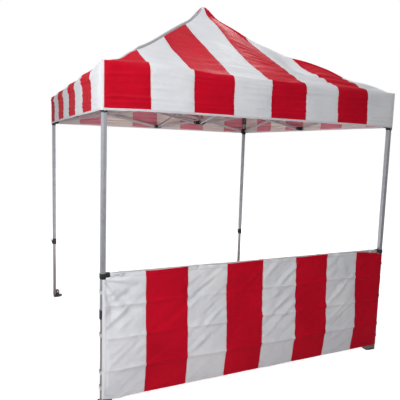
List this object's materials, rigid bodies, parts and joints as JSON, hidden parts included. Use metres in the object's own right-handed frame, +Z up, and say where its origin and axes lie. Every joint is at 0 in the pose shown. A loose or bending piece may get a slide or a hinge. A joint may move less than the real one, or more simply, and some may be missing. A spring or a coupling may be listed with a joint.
{
  "type": "pop-up carnival booth",
  "caption": "Square pop-up booth with telescoping legs, scissor trusses, a striped peaked cover with valances and a striped half wall on a front rail.",
  "frame": {"origin": "on the ground below the peak, in the middle of the four legs", "axes": "+Z up, the front with the half wall towards -Y, +X to the right as seen from the front"},
  "size_m": [2.4605, 2.44, 3.021],
  "materials": {
    "outer_leg": "silver grey powder coat, satin",
    "inner_leg": "zinc plated tube, drawn along its length",
    "foot_plate": "grey coated pressed steel, scuffed",
    "joint_plastic": "black moulded nylon",
    "truss_bar": "silver grey powder coat, satin",
    "rivet": "plated",
    "cover_cloth": "coated woven polyester in red and white stripes",
    "wall_cloth": "coated woven polyester in white and red stripes",
    "tie_webbing": "white hook and loop webbing",
    "rail": "pale powder coat, satin"
  },
  "bodies": {
    "frame": {"outer_leg_fl": "outer_leg", "height_lock_fl": "joint_plastic", "corner_bracket_fl": "joint_plastic", "slider_fl": "joint_plastic", "outer_leg_fr": "outer_leg", "height_lock_fr": "joint_plastic", "corner_bracket_fr": "joint_plastic", "slider_fr": "joint_plastic", "outer_leg_br": "outer_leg", "height_lock_br": "joint_plastic", "corner_bracket_br": "joint_plastic", "slider_br": "joint_plastic", "outer_leg_bl": "outer_leg", "height_lock_bl": "joint_plastic", "corner_bracket_bl": "joint_plastic", "slider_bl": "joint_plastic", "truss_front": "truss_bar", "roof_front": "cover_cloth", "valance_front": "cover_cloth", "truss_right": "truss_bar", "roof_right": "cover_cloth", "valance_right": "cover_cloth", "truss_back": "truss_bar", "roof_back": "cover_cloth", "valance_back": "cover_cloth", "truss_left": "truss_bar", "roof_left": "cover_cloth", "valance_left": "cover_cloth", "peak_truss": "truss_bar", "truss_rivets": "rivet", "upper_brackets": "joint_plastic", "lower_brackets": "joint_plastic", "upper_hub": "joint_plastic", "lower_hub": "joint_plastic", "peak_pole": "inner_leg", "peak_cap": "joint_plastic", "wall_rail": "rail", "rail_clamps": "joint_plastic", "half_wall": "wall_cloth", "wall_ties": "tie_webbing"},
    "lower_leg_fl": {"inner_leg_fl": "inner_leg", "foot_plate_fl": "foot_plate"},
    "lower_leg_fr": {"inner_leg_fr": "inner_leg", "foot_plate_fr": "foot_plate"},
    "lower_leg_br": {"inner_leg_br": "inner_leg", "foot_plate_br": "foot_plate"},
    "lower_leg_bl": {"inner_leg_bl": "inner_leg", "foot_plate_bl": "foot_plate"}
  },
  "joints": [
    {"name": "leg_height_fl", "type": "slide", "parent": "frame", "child": "lower_leg_fl", "axis": [0, 0, -1], "range_m": [0, 0.3]},
    {"name": "leg_height_fr", "type": "slide", "parent": "frame", "child": "lower_leg_fr", "axis": [0, 0, -1], "range_m": [0, 0.3]},
    {"name": "leg_height_br", "type": "slide", "parent": "frame", "child": "lower_leg_br", "axis": [0, 0, -1], "range_m": [0, 0.3]},
    {"name": "leg_height_bl", "type": "slide", "parent": "frame", "child": "lower_leg_bl", "axis": [0, 0, -1], "range_m": [0, 0.3]}
  ]
}
